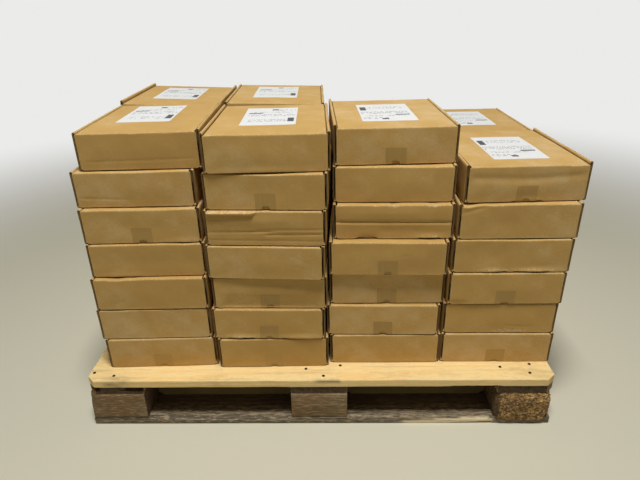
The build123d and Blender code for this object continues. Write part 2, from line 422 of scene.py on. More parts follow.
class Shell:
    """Collects closed sheets and blocks as one mesh, with its attributes."""

    def __init__(self):
        self.points, self.faces, self.slots = [], [], []
        self.values = {}
        self.count = 0

    def add(self, points, faces, slots, **values):
        points = np.asarray(points, float).reshape(-1, 3)
        self.points.append(points)
        self.faces += [[int(corner) + self.count for corner in face] for face in faces]
        self.slots += slots
        for name, value in values.items():
            self.values.setdefault(name, []).append(np.asarray(value, float))
        self.count += len(points)

    def sheet(self, outer, inner, edge_slot=1, **values):
        """A closed sheet between two grids of points, with its cut edges in a slot of their own."""
        top = np.arange(outer[..., 0].size).reshape(outer.shape[:2])
        under = top + top.size
        sides = [*quads(top), *quads(under)[:, [0, 3, 2, 1]]]
        rims = []
        for above, below in ((top[0], under[0]), (top[-1, ::-1], under[-1, ::-1]),
                             (top[::-1, 0], under[::-1, 0]), (top[:, -1], under[:, -1])):
            rims += [*np.stack([above[1:], above[:-1], below[:-1], below[1:]], -1)]
        slots = [0] * len(sides) + [edge_slot] * len(rims)
        self.add(np.concatenate([outer.reshape(-1, 3), inner.reshape(-1, 3)]), sides + rims, slots, **values)

    def block(self, low, high, **values):
        corners = [(x, y, z) for z in (low[2], high[2]) for y in (low[1], high[1]) for x in (low[0], high[0])]
        faces = [(0, 2, 3, 1), (4, 5, 7, 6), (0, 1, 5, 4), (2, 6, 7, 3), (0, 4, 6, 2), (1, 3, 7, 5)]
        self.add(corners, faces, [0] * 6, **values)

    def make(self, name, materials, seat=None):
        """The mesh object, in metres in the row frame, with outward faces."""
        points = np.concatenate(self.points) * MM
        if seat:
            points = points @ seat.axes + seat.origin
        mesh = bpy.data.meshes.new(name)
        mesh.from_pydata(points.tolist(), [], self.faces)
        for material in materials:
            mesh.materials.append(material)
        mesh.polygons.foreach_set("material_index", self.slots)
        for title, parts in self.values.items():
            joined = np.concatenate(parts)
            kind, field = ("FLOAT_VECTOR", "vector") if joined.ndim == 2 else ("FLOAT", "value")
            mesh.attributes.new(title, kind, "POINT").data.foreach_set(field, joined.ravel())
        mesh.validate()
        turned = bmesh.new()
        turned.from_mesh(mesh)
        bmesh.ops.recalc_face_normals(turned, faces=turned.faces)
        turned.to_mesh(mesh)
        turned.free()
        mesh.polygons.foreach_set("use_smooth", [True] * len(mesh.polygons))
        mesh.set_sharp_from_angle(angle=math.radians(SHARP_ANGLE))
        return add_object(name, mesh)


def settle(piece, slot, *nodes):
    """Put a finished piece on the load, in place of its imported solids."""
    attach(piece, "root")
    if nodes:
        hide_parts(*nodes)
    return piece


def packed(node):
    """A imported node's mesh."""
    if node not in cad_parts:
        raise RuntimeError("The packed model has no " + node)
    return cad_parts[node].data


# Mailer boxes

class Seat:
    """Where a box stands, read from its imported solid: x to its right, y into it from the front, z up."""

    def __init__(self, node):
        mesh = packed(node)
        x_axis = self.widest(mesh, Vector((1, 0, 0))).normal
        lid_face = self.widest(mesh, Vector((0, 0, 1)))
        z_axis = lid_face.normal
        self.axes = np.array([x_axis, z_axis.cross(x_axis).normalized(), z_axis])
        points = np.array([vertex.co for vertex in mesh.vertices]) @ self.axes.T / MM
        low, high = extent(points)
        base = np.array(((low[0] + high[0]) / 2, low[1], low[2]))
        points -= base
        self.origin = base @ self.axes * MM
        self.width, self.depth = high[0] - low[0], high[1] - low[1]
        self.lid = z_axis.dot(lid_face.center) / MM - low[2]
        x, y, z = points.T
        # The highest points within 4 mm of a side are its wall's. Only the thumb notch has corners 2 mm
        # behind the front and near its middle
        self.left_wall = z[x < -self.width / 2 + 4].max() - self.lid
        self.right_wall = z[x > self.width / 2 - 4].max() - self.lid
        self.tuck_forward = bool(np.any((y > 1.8) & (y < 2.2) & (np.abs(x) < 14)))

    @staticmethod
    def widest(mesh, way):
        """The largest face that looks that way."""
        faces = [face for face in mesh.polygons if face.normal.dot(way) > 0.98]
        return max(faces, key=lambda face: face.area)


def crease(start, end, depth, spread):
    """A pressed line across a front panel, from (x, z) to (x, z)."""
    def press(x, z):
        run = np.array(end, float) - np.array(start, float)
        length = np.hypot(*run)
        along = ((x - start[0]) * run[0] + (z - start[1]) * run[1]) / length
        off = ((x - start[0]) * run[1] - (z - start[1]) * run[0]) / length
        ends = smooth_step((along + 12) / 24) * smooth_step((length + 12 - along) / 24)
        return -depth * ends * hill(off, 0, spread)
    return press


def swell(amount, x_middle=0, z_middle=44, width=90, height=28):
    """A soft bulge of a front panel, or a hollow if amount is negative."""
    return lambda x, z: amount * hill(x, x_middle, width) * hill(z, z_middle, height)


def bent_in(half, top, depth):
    """The panel's lower part pushed in below a crease at top."""
    return lambda x, z: -depth * np.clip(1 - z / top, 0, 1) * smooth_step((half - np.abs(x)) / 14)


def lifted(start, end, height):
    """The panel's lower edge cut or crushed upwards between two places."""
    return lambda x: height * smooth_step((x - start) / 5 + 0.5) * smooth_step((end - x) / 5 + 0.5)


def foot(x_middle, width, amount):
    """The panel's lower edge standing off the box."""
    return lambda x, z: amount * hill(x, x_middle, width) * smooth_step((22 - z) / 22) ** 2


def look(*presses, dips=(), lifts=(), rubs_and_highlights=(), flap=None):
    """How a front differs. presses move it out or in and lifts raise its foot. dips (middle, width, depth)
    lower its top fold, and flap (start, end, reach) is the loose stretch of the lid's edge. Lighter patches
    (x, z, width, height) show wear, and on its folds and the flap's top edge they are a painted highlight."""
    return SimpleNamespace(presses=presses, dips=dips, lifts=lifts, rubs_and_highlights=rubs_and_highlights, flap=flap)


# What the photographed fronts show, by stack and level
FRONTS = {
    (1, 1): look(crease((-60, 30), (-10, 52), 0.5, 1.5), foot(60, 50, 1.5)),
    (1, 2): look(swell(-1.2, height=30), dips=[(-90, 30, 1.2)]),
    (1, 3): look(swell(1.0, -40, 50, 80, 30), dips=[(-82, 20, 3.2), (-40, 12, 1.2)]),
    (1, 4): look(swell(-1.4, 30, 40, height=30), foot(-70, 60, 1.6), dips=[(95, 26, 1.5)]),
    (1, 5): look(foot(100, 40, 2.0), swell(-1.0, 0, 40, 80, 24), dips=[(30, 60, 1.0)],
                 rubs_and_highlights=[(112, 1, 26, 3)]),
    (1, 6): look(crease((-130, 24), (-20, 19), 0.8, 2.0), swell(1.2, 40, 46, 80, 26), dips=[(-20, 70, 1.0)]),
    (1, 7): look(crease((-120, 20), (125, 24), 0.5, 2.6), swell(1.0, 0, 50, 110, 30),
                 dips=[(-10, 14, 1.4), (70, 18, 1.0)]),
    (2, 1): look(swell(-1.0, -20, 40, 80, 26), foot(-30, 70, 1.2)),
    (2, 2): look(foot(-70, 36, 5.0), foot(-5, 24, 2.5), foot(84, 44, 5.0), swell(1.2, 0, 50, height=30),
                 lifts=[lifted(-106, -60, 2.2), lifted(-66, -36, 3.0), lifted(-22, -10, 1.6),
                        lifted(32, 48, 1.6)],
                 rubs_and_highlights=[(-70, 5, 30, 4), (10, 4, 14, 3)]),
    (2, 3): look(bent_in(124, 42, 5.0), swell(1.2, 0, 50, 120, 12), dips=[(60, 40, 1.0)]),
    (2, 4): look(crease((60, 62), (118, 38), 0.5, 1.2), crease((50, 40), (105, 26), 0.4, 1.2), swell(1.4)),
    (2, 5): look(crease((-134, 34), (20, 36), 1.7, 2.2), crease((0, 28), (134, 30), 1.7, 2.2),
                 crease((-20, 40), (134, 42), 1.1, 2.0), crease((-134, 14), (134, 12), 0.9, 2.0),
                 # The patch at the flap's top edge is a painted highlight
                 swell(1.8, -20, 62, 90, 14), flap=(-136, -22, 9.0), rubs_and_highlights=[(-80, 86, 58, 3)]),
    (2, 6): look(swell(-1.5), dips=[(0, 80, 2.2)]),
    (2, 7): look(swell(1.8, 0, 40, 100, 30), foot(0, 90, 1.5), dips=[(-100, 40, -1.2)]),
    (3, 1): look(swell(-1.0, 20), foot(40, 80, 1.2)),
    (3, 2): look(swell(1.0, height=30), dips=[(-60, 40, 1.0)]),
    (3, 3): look(swell(-1.8), dips=[(10, 80, 1.5)]),
    (3, 4): look(swell(1.6, width=100), crease((30, 50), (52, 54), 0.8, 1.4)),
    (3, 5): look(crease((-134, 44), (134, 42), 3.6, 3.2), swell(-1.8, 0, 20, 120, 15),
                 swell(1.6, 0, 66, 120, 14), foot(-62, 28, -3.0), foot(87, 34, 3.6),
                 dips=[(0, 9, 2.0), (-42, 8, 0.9), (92, 13, 2.2)],
                 lifts=[lifted(-87, -38, 3.4), lifted(61, 113, 2.6)],
                 # The two patches at height 84 are painted highlights on the crumpled fold, the low ones are
                 # wear
                 rubs_and_highlights=[(95, 5, 26, 3), (-64, 5, 10, 3), (0, 84, 9, 3), (88, 84, 14, 3)]),
    (3, 6): look(swell(1.2), dips=[(70, 50, 1.2)]),
    (3, 7): look(swell(1.2, -10, 42), dips=[(0, 90, 0.6)]),
    (4, 1): look(swell(-1.0)),
    (4, 2): look(swell(1.0, -20, 40, 80, 26), crease((20, 22), (80, 18), 0.9, 2.0), dips=[(-50, 30, 1.2)],
                 rubs_and_highlights=[(12, 7, 18, 5), (48, 8, 22, 4)]),
    (4, 3): look(swell(1.6, 20, width=80), foot(-118, 22, -3.5)),
    (4, 4): look(foot(62, 46, 5.0), foot(-44, 22, 4.0), swell(-1.2, -60, 44, 50, 26), dips=[(20, 60, 1.2)],
                 lifts=[lifted(-36, -6, 2.0), lifted(8, 94, 2.2)], rubs_and_highlights=[(-40, 6, 30, 4), (70, 5, 50, 4)]),
    (4, 5): look(crease((-134, 66), (-84, 82), 1.0, 5.0), swell(-1.2, 30, 40, 90, 26),
                 dips=[(-128, 26, 4.5), (-60, 20, 1.0)]),
    (4, 6): look(crease((-128, 60), (10, 54), 1.6, 9.0), crease((10, 54), (128, 62), 1.6, 9.0),
                 foot(6, 20, 2.6), swell(1.8, 0, 34, 100, 20), dips=[(110, 24, 1.2)],
                 lifts=[lifted(-30, 40, 2.4)]),
}

# The settings that a mailer takes in millimetres
MAILER_SIZES = ("board", "fold_radius", "wall_width", "panel_gap", "lid_gap", "foot_gap", "wall_setback",
                "notch_radius", "lid_crown")


def straight_rows(start, end, shares, out):
    """Section rows (place, place, outward, outward) along a straight."""
    return np.hstack([start + np.outer(shares, np.subtract(end, start)), np.tile(out, (len(shares), 1))])


def arc_rows(centre, radius, start, turn, steps):
    """Section rows (place, place, outward, outward) round an arc, its angles in degrees."""
    angles = np.radians(start + turn * np.arange(steps + 1) / steps)
    out = np.stack([np.cos(angles), np.sin(angles)], -1)
    return np.hstack([centre + radius * out, out])


def side_by_side(rows, count):
    """Each column of some section rows, and the run along them, count times side by side."""
    run = np.concatenate([[0], np.cumsum(np.hypot(np.diff(rows[:, 0]), np.diff(rows[:, 1])))])
    return [np.repeat(column[:, None], count, 1) for column in (*rows.T, run)]


class Mailer:
    """One folded mailer: a tray with rolled side walls, and a lid strip that folds down front and back."""

    def __init__(self, node, settings):
        self.node, self.seat = node, Seat(node)
        self.sizes = SimpleNamespace(**{name: getattr(settings, name) / MM for name in MAILER_SIZES})
        self.seed = sum(ord(letter) * (place + 3) for place, letter in enumerate(node)) % 97
        row, column, level = node.split("_")[1:]
        self.fine = row == "front"
        self.look = FRONTS.get((int(column), int(level)), look()) if self.fine else look()
        self.bottom = level == "1"
        self.top = f"box_{row}_{column}_{int(level) + 1}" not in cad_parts
        self.tone = ((self.seed * 37) % 19 - 9) / 9 * 0.05

    def bow(self, x, s, size):
        """Slow unevenness of a panel, for x across and s along the strip."""
        return ripple(np.stack([x * MM * size, s * MM * size, np.zeros_like(x)], -1), self.seed)

    def front_out(self, x, z):
        """How far the front panel stands out at x, z."""
        out = 0.7 * self.bow(x, z, 16.0) - 0.3
        for press in self.look.presses:
            out = out + press(x, z)
        out = np.clip(out, -4.0, 5.0) * smooth_step((z + 4) / 10)
        if self.look.flap:
            start, end, reach = self.look.flap
            loose = smooth_step((x - start) / 3) * smooth_step((end - x) / 3)
            loose = loose * (0.75 + 0.25 * (end - x) / (end - start))
            out = out + loose * reach * smooth_step((z - self.seat.lid + 9) / 6)
        return out

    def back_out(self, x, z):
        """How far the back panel stands out at x, z."""
        return np.minimum(0.6 * self.bow(x + 300, z, 14.0) - 0.4, -0.05) * smooth_step((z + 4) / 10)

    def fold_dip(self, x):
        """How far the front fold is pressed down at x."""
        drop = 0.25 * self.bow(x, x * 0 + 40, 30.0) + 0.25
        for middle, width, depth in self.look.dips:
            drop = drop + depth * hill(x, middle, width)
        return drop

    def lid_rise(self, x, y):
        """The lid's crown or sag at x, y."""
        if not self.top:
            return -0.4 - 0.3 * self.bow(x, y + 200, 9.0)
        across = np.cos(np.pi * x / (self.seat.width + 10))
        along = np.sin(np.pi * np.clip(y / self.seat.depth, 0, 1))
        crown = self.sizes.lid_crown * across * along * (0.6 + 0.4 * np.sin(self.seed))
        return -0.6 + crown + 0.8 * self.bow(x, y + 200, 7.0)

    def strip_rows(self):
        """The lid strip's path as (y, z, outward y, outward z), from the front panel's foot to the back's."""
        lid, depth, radius = self.seat.lid, self.seat.depth, self.sizes.fold_radius
        front, across = (30, 28 if self.top else 6) if self.fine else (6, 14 if self.top else 4)
        low = lid - radius
        return np.concatenate([
            straight_rows((0, 0), (0, low), np.arange(front) / front, (-1, 0)),
            arc_rows((radius, low), radius, 180, -90, 6),
            straight_rows((radius, lid), (depth - radius, lid), np.arange(1, across) / across, (0, 1)),
            arc_rows((depth - radius, low), radius, 90, -90, 4),
            straight_rows((depth, low), (depth, 0), np.arange(1, 7) / 6, (1, 0))])

    def columns(self):
        """Places across the strip from -1 to 1, closer together at the edges and round the notch."""
        if self.fine:
            side = np.concatenate([np.linspace(0, 0.1, 8), np.linspace(0.13, 0.94, 20), (0.965, 0.985, 1.0)])
        else:
            side = np.array([0, 0.05, 0.1, 0.3, 0.55, 0.8, 0.97, 1])
        return np.concatenate([-side[:0:-1], side])

    def strip_points(self, inset):
        """The lid strip's surface, inset from its outer face, as rows along and columns across."""
        seat, sizes = self.seat, self.sizes
        places = self.columns()
        y, z, out_y, out_z, run = side_by_side(self.strip_rows(), len(places))
        panel, lid = seat.width / 2 - sizes.panel_gap, seat.width / 2 - sizes.lid_gap
        x = places * (panel + (lid - panel) * smooth_step(out_z * 1.2 - 0.2))
        is_front = y < seat.depth / 2
        notch = np.sqrt(np.clip(sizes.notch_radius ** 2 - x ** 2, 0, None))
        tuck = is_front if seat.tuck_forward else ~is_front
        lift = np.where(tuck, np.maximum(notch, sizes.foot_gap), sizes.foot_gap)
        lift = lift + 5.0 * smooth_step((np.abs(places) - 0.95) / 0.05) ** 3
        for raised in self.look.lifts:
            lift = lift + raised(x) * is_front
        low = np.clip(1 - z / 30, 0, 1)
        z = z + lift * low ** 2
        front_out = self.front_out(x, z) * np.clip(-out_y, 0, 1)
        back_out = self.back_out(x, z) * np.clip(out_y, 0, 1)
        rise = self.lid_rise(x, y) * np.clip(out_z, 0, 1)
        dip = self.fold_dip(x) * hill(y, 0, 20) * smooth_step((z - seat.lid + 16) / 16)
        moved_y = y + out_y * (front_out + back_out - inset)
        moved_z = z + out_z * (rise - inset) - dip
        edge = smooth_step((np.abs(places) - 0.9) / 0.1)
        fold = hill(np.abs(out_y), 0.7, 0.45) * (np.abs(out_z) > 0.01)
        # Lighter on folds, edges and feet: wear, and on the folds a painted highlight
        wear = fold * 0.9 + edge * 0.35 + low ** 4 * 0.4
        for x_middle, z_middle, width, height in self.look.rubs_and_highlights:
            wear = wear + 2.5 * hill(x, x_middle, width) * hill(z, z_middle, height) * is_front
        board = np.stack([x, run, np.full_like(x, inset)], -1) * MM
        return np.stack([x, moved_y, moved_z], -1), board, np.clip(wear, 0, 2.2)

    def tray_rows(self):
        """The tray's section as (x, z, outward x, outward z), from the left wall round to the right."""
        half, wall, base = self.seat.width / 2, self.sizes.wall_width / 2, 3.0
        legs = []
        for side, rise in ((-1, self.seat.left_wall), (1, self.seat.right_wall)):
            top = self.seat.lid + rise
            leg = [[(half - 2 * wall, top - 30, -1, 0), (half - 2 * wall, top - wall - 2, -1, 0)],
                   arc_rows((half - wall, top - wall), wall, 180, -180, 6),
                   [(half, top - drop, 1, 0) for drop in (14, 34, 58)],
                   arc_rows((half - base, base), base, 0, -90, 3)]
            legs.append(np.concatenate(leg) * (side, 1, side, 1))
        return np.concatenate([legs[0], [(0, 0, 0, -1)], legs[1][::-1]])

    def tray_points(self, inset):
        """The tray's surface, inset from its outer face, as rows round its section and columns along it."""
        seat, setback = self.seat, self.sizes.wall_setback
        count = 22 if self.fine else 10
        x, z, out_x, out_z, run = side_by_side(self.tray_rows(), count)
        y = x * 0 + setback + (seat.depth - 2 * setback) * np.linspace(0, 1, count)
        upper = smooth_step((z - seat.lid + 30) / 34)
        side = np.sign(x)
        wave = self.bow(y + side * 100, z * 0.5, 12.0)
        ends = hill(y, 0, 55) + 0.7 * hill(y, seat.depth, 55)
        splay = 1.2 * upper * (0.4 * wave + ends * (0.5 + 0.5 * np.cos(self.seed + side)))
        belly = np.sin(np.pi * np.clip(z / seat.lid, 0, 1)) * np.sin(np.pi * y / seat.depth)
        belly = 0.8 * belly * (1 - upper)
        limit = 1.6 if self.top else 1.0
        shift = np.clip(splay, -limit, limit) + belly * np.abs(out_x)
        moved_x = x + side * (shift - 0.6) - out_x * inset
        moved_z = z - 0.5 * upper * np.abs(wave) - out_z * inset
        wear = np.clip(np.abs(out_z) * upper + hill(y, 0, 6) * 0.5, 0, 1)
        board = np.stack([run, y, np.full_like(x, inset)], -1) * MM
        return np.stack([moved_x, y, moved_z], -1), board, wear

    def make(self, materials):
        """The strip and the tray as sheets of board, and a plain block for what fills them."""
        seat, thick = self.seat, self.sizes.board
        shell = Shell()
        for part in (self.strip_points, self.tray_points):
            outer, board, wear = part(0.0)
            inner, under, _ = part(thick)
            boards = np.concatenate([board.reshape(-1, 3), under.reshape(-1, 3)])
            wears = np.concatenate([wear.ravel(), wear.ravel() * 0])
            shell.sheet(outer, inner, board=boards, wear=wears, tone=np.full(len(wears), self.tone))
        clear = thick + 4.2
        half = seat.width / 2 - self.sizes.wall_width - 1.2
        shell.block((-half, clear, thick + 0.4), (half, seat.depth - clear, seat.lid - clear - 1),
                    board=np.zeros((8, 3)), wear=np.zeros(8), tone=np.full(8, self.tone - 0.2))
        return settle(shell.make(self.node + "_folded", materials, seat), "corrugated_board", self.node)


# How far a patch's two faces stand off its panel, in millimetres
PATCH_FACES = (0.3, 0.02)

# A sticker's head is towards its box's tuck side, but for this box
TURNED_STICKER = "box_rear_4_6"


class Patches(Shell):
    """Thin patches that lie on the boxes' panels."""

    def patch(self, mailer, u, v, surface, **values):
        """A patch over the grid u, v. surface gives its points in the box's own millimetres."""
        seat = mailer.seat
        grids = [surface(u, v, off) @ seat.axes + seat.origin / MM for off in PATCH_FACES]
        doubled = {name: np.concatenate([value.reshape(u.size, -1)] * 2).squeeze()
                   for name, value in values.items()}
        self.sheet(*grids, edge_slot=0, **doubled)


def add_tape(patches, mailer, low, high):
    """The tape that holds a tuck panel's foot. It sinks a little over the thumb notch."""
    seat = mailer.seat
    middle, half, tall = (low[0] + high[0]) / 2, (high[0] - low[0]) / 2, high[2]
    count = 27 if mailer.fine else 5
    up = np.concatenate([np.linspace(0.04, 0.36, count // 2), np.linspace(0.45, 1, count // 5 + 2)])
    u, v = np.meshgrid(np.linspace(-1, 1, count), up)
    wobble = 0.8 * np.sin(mailer.seed * 1.7)

    def surface(u, v, off):
        x = middle + u * half + wobble * v
        z = tall * v + 0.5 * wobble * u * v
        off = off - 2.0 * smooth_step((mailer.sizes.notch_radius - np.hypot(x, z)) / 1.4)
        if seat.tuck_forward:
            y = -mailer.front_out(x, z) - off
        else:
            y = seat.depth + mailer.back_out(x, z) + off
        return np.stack([x, y, z], -1)

    board = np.stack([u * half * MM, v * tall * MM, np.full_like(u, (mailer.seed % 13) * 0.1)], -1)
    clear = np.full_like(u, 0.35 if mailer.bottom else 0.0)
    patches.patch(mailer, u, v, surface, board=board, clear=clear)


def add_label(patches, mailer, low, high):
    """A sticker on a lid, with its corners just lifting."""
    seat = mailer.seat
    u, v = np.meshgrid(np.linspace(0, 1, 20), np.linspace(0, 1, 30))

    def surface(u, v, off):
        x = low[0] + (high[0] - low[0]) * u
        y = low[1] + (high[1] - low[1]) * v
        curl = smooth_step((np.abs(u - 0.5) - 0.42) / 0.08) * smooth_step((np.abs(v - 0.5) - 0.44) / 0.06)
        return np.stack([x, y, seat.lid + mailer.lid_rise(x, y) + off + 0.35 * curl], -1)

    across, along = (1 - u, 1 - v) if seat.tuck_forward or mailer.node == TURNED_STICKER else (u, v)
    sticker = np.stack([across, along, np.full_like(u, mailer.seed * 0.1)], -1)
    patches.patch(mailer, u, v, surface, sticker=sticker)


def packed_islands(node):
    """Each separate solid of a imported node, as its vertices in the row frame."""
    mesh = packed(node)
    owner = list(range(len(mesh.vertices)))

    def root(k):
        while owner[k] != k:
            owner[k] = owner[owner[k]]
            k = owner[k]
        return k

    for a, b in mesh.edge_keys:
        owner[root(a)] = root(b)
    groups = {}
    for k, vertex in enumerate(mesh.vertices):
        groups.setdefault(root(k), []).append(tuple(vertex.co))
    return join_touching([np.array(points) for points in groups.values()])


def join_touching(groups):
    """Joins groups whose boxes overlap, since a solid's faces may be stored unjoined."""
    joined = []
    for points in groups:
        kept, touching = [], [points]
        low, high = extent(points)
        for other in joined:
            other_low, other_high = extent(other)
            if np.all(low <= other_high + 1e-6) and np.all(high >= other_low - 1e-6):
                touching.append(other)
                low, high = np.minimum(low, other_low), np.maximum(high, other_high)
            else:
                kept.append(other)
        joined = kept + [np.concatenate(touching)]
    return joined


def nearest_box(mailers, points):
    """The box that a patch lies on, and the patch's corners in that box's millimetres."""
    best = None
    for mailer in mailers:
        seat = mailer.seat
        local = (points - seat.origin) @ seat.axes.T / MM
        x, y, z = local.mean(0)
        off = max(abs(x) - seat.width / 2, 0) + max(-y, y - seat.depth, 0) + max(-z, z - seat.lid, 0)
        if best is None or off < best[0]:
            best = (off, mailer, *extent(local))
    return best[1:]


# Pallet

def in_mm(node):
    """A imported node's lowest and highest corners, to a hundredth of a millimetre."""
    return np.round(np.array(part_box(node)) / MM, 2)


DECK_LOW, DECK_HIGH = in_mm("deck_boards")
PALLET = DECK_HIGH[:2]
BLOCK_TOP = in_mm("timber_blocks")[1][2]
BOARD_TOP = in_mm("bottom_boards")[1][2]

# The sawn corners' size, and the bottom boards' bevels as (centre, half length, depth) on each half
CORNER_CUT = 20.0
BEVELS = (263.75, 186, 10)


def section(half_b, half_c, radii, straight, fine):
    """A board's section as points going round it, each corner rounded or cut straight by its two radii."""
    counts = (26, 7) if fine else (8, 2)
    turn = np.linspace(0, 1, 4)
    quarter = turn * math.pi / 2
    inward = np.stack((turn, 1 - turn) if straight else (1 - np.cos(quarter), 1 - np.sin(quarter)), -1)
    corners = []
    for place, signs in enumerate(((1, 1), (-1, 1), (-1, -1), (1, -1))):
        corner = signs * ((half_b, half_c) - radii[place] * inward)
        corners.append(corner[::-1] if place % 2 else corner)
    points = []
    for place, corner in enumerate(corners):
        steps = counts[place % 2]
        run = corners[(place + 1) % 4][0] - corner[-1]
        points += [corner, corner[-1] + np.outer(np.arange(1, steps) / steps, run)]
    return np.concatenate(points)


def corner_cuts(low, high, a, b):
    """The sawn corners of an upper board that ends on a corner of the pallet, as (end, side)."""
    if low[2] < BLOCK_TOP - 1:
        return []
    ends = [end for end, place in ((-1, low[a]), (1, high[a])) if abs(place) > PALLET[a] - 2]
    sides = [side for side, place in ((-1, low[b]), (1, high[b])) if abs(place) > PALLET[b] - 2]
    return [(end, side) for end in ends for side in sides]


class Timber(Shell):
    """Sawn boards and blocks, each a closed sweep with uneven edges."""

    def plank(self, low, high, seed, axis, edge, step, bevels=None, carve=None):
        """A board along axis, edge worn. carve moves its points and returns how torn each is, and below 0 the
        painted shade and dirt it takes.
        """
        order = [axis, 1 - axis, 2]
        middle = (low + high) / 2
        half_a, *halves = (high - low)[order] / 2
        near = np.array([0.5, 1.4, 4, 8, 12, 16, 20, 24])
        even = np.linspace(-half_a, half_a, max(int(2 * half_a / step), 6) + 1)
        places = np.unique(np.round(np.concatenate([even, near - half_a, half_a - near]), 3))
        places = places[np.concatenate([[True], np.diff(places) > 0.4])]
        rings = []
        for place in places:
            spots = np.array([[place * MM * 9, corner * 1.7, seed] for corner in range(4)])
            size = edge * (1 + 0.7 * ripple(spots, seed))
            radii = np.maximum(np.stack([size, size * 0.8], -1), 0.8)
            bay = 0.0
            if bevels:
                bay = smooth_step((bevels[1] - abs(abs(place) - bevels[0])) / 6)
                radii[:2] += (bevels[2] - radii[:2]) * bay
            ring = section(*halves, radii, bay > 0.5, carve is not None)
            ring *= 1 - 0.9 / np.array(halves) * smooth_step((1.4 - (half_a - abs(place))) / 1.4)
            for end, side in corner_cuts(low, high, *order[:2]):
                reach = CORNER_CUT - (half_a - end * place)
                if reach > 0:
                    limit = halves[0] - reach
                    ring[:, 0] = np.where(ring[:, 0] * side > limit, side * (limit - 0.2), ring[:, 0])
            rings.append(np.column_stack([np.full(len(ring), place), ring]))
        points = np.array(rings)
        inward = 0.25 + 0.35 * np.abs(ripple(points[..., order] * MM * 14, seed + 3))
        reach = points[..., 1:] / halves
        points[..., 1:] -= np.sign(reach) * inward[..., None] * smooth_step((np.abs(reach) - 0.7) / 0.3)
        grain = points * MM + (seed * 0.37, (seed % 5 - 2) * 0.031, (seed % 7) * 0.019)
        self.tube(points[..., order] + middle, grain, carve)

    def tube(self, points, grain, carve):
        """The board's skin, with its two ends closed by rings of faces."""
        rows, columns = points.shape[:2]
        index = np.arange(rows * columns).reshape(rows, columns)
        faces = [*quads(closed(index))]
        scales = (1.0, 0.9, 0.78, 0.62, 0.4) if columns > 40 else (1.0, 0.5)
        count = columns * len(scales)
        skin, grains, ends = [points.reshape(-1, 3)], [grain.reshape(-1, 3)], [np.zeros(index.size)]
        for row, first in ((0, index.size), (rows - 1, index.size + count + 1)):
            for parts, ring in ((skin, points[row]), (grains, grain[row])):
                centre = ring.mean(0)
                parts += [centre + (ring - centre) * scale for scale in scales] + [centre[None, :]]
            ends.append(np.ones(count + 1))
            loops = closed(np.vstack([index[row], first + np.arange(count).reshape(-1, columns)]))
            faces += [*quads(loops)]
            faces += [(a, b, first + count) for a, b in zip(loops[-1, :-1], loops[-1, 1:])]
        skin = np.concatenate(skin)
        torn = carve(skin) if carve else 0.0
        # Painted shade on the timber deep under the deck, where it is not torn
        torn = torn - 0.8 * inner_shade(skin) * (torn <= 0)
        grain, end = np.concatenate(grains), np.concatenate(ends)
        self.add(skin, faces, [0] * len(faces), grain=grain, end=end, torn=torn)


def inner_shade(points):
    """1 deep inside the pallet, where the timber gets painted shade, 0 at its sides and on the deck."""
    depth = (PALLET - np.abs(points[:, :2])).min(1)
    return smooth_step((depth - 22) / 45) * (points[:, 2] < DECK_LOW[2] + 1)


def short_end(points):
    """A cross board's front end, cut a little short."""
    points[:, 1] = np.maximum(points[:, 1], 2.5 - PALLET[1])
    return 0.0


def split_end(points):
    """The left cross board's front end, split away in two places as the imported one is."""
    short_end(points)
    x, y, z = points.T
    rough = ripple(points * MM * 70, 5)
    high = smooth_step((z - DECK_LOW[2] + 15 + 2.5 * rough) / 3)
    torn = np.zeros(len(points))
    for left, right in ((-614, -566), (-500, -454)):
        within = smooth_step((x - left - 2 * rough) / 5) * smooth_step((right - 2 * rough - x) / 5)
        torn = np.maximum(torn, within * high * (y < 16 - PALLET[1]))
    y[:] = np.maximum(y, torn * (13.0 + 4.0 * rough) - PALLET[1])
    # The split is painted shade, with pale streaks of torn wood
    return np.where(rough > 0.42, torn * 0.6, -torn * 0.95)


def worn_corner(points):
    """The front left block's corner, worn down more towards its top."""
    x, y, z = points.T
    reach = 3.0 + 12.0 * np.clip((z - BOARD_TOP) / (BLOCK_TOP - BOARD_TOP), 0, 1) ** 2
    beyond = np.clip(reach - (x + PALLET[0]) - (y + PALLET[1]), 0, None) / 2
    x += beyond
    y += beyond
    return 0.0


def torn_edge(points):
    """The front bottom board's lower front edge, split away towards the chip block."""
    front, start, end = -PALLET[1], 212.0, 457.0
    x, y, z = points.T
    ragged = ripple(points * MM * (30, 12, 60), 9)
    run = np.clip((x - start) / (end - start), 0, 1)
    upper = 9.5 + 9.5 * run + 1.2 * ragged
    lower = 8.0 * run ** 1.6
    within = smooth_step((x - start) / 12) * smooth_step((end - x) / 4)
    ledge = np.clip((upper - z) / 1.5, 0, 1)
    slope = np.clip((upper - z) / np.maximum(upper - lower, 2.0), 0, 1)
    near = y < front + 9
    y[:] = np.where(near, np.maximum(y, front + within * ledge * (1.0 - 0.6 * slope + 0.3 * ragged)), y)
    z[:] = np.where(near, np.maximum(z, within * lower * smooth_step((front + 14 - y) / 5)), z)
    return within * near * smooth_step(ledge)


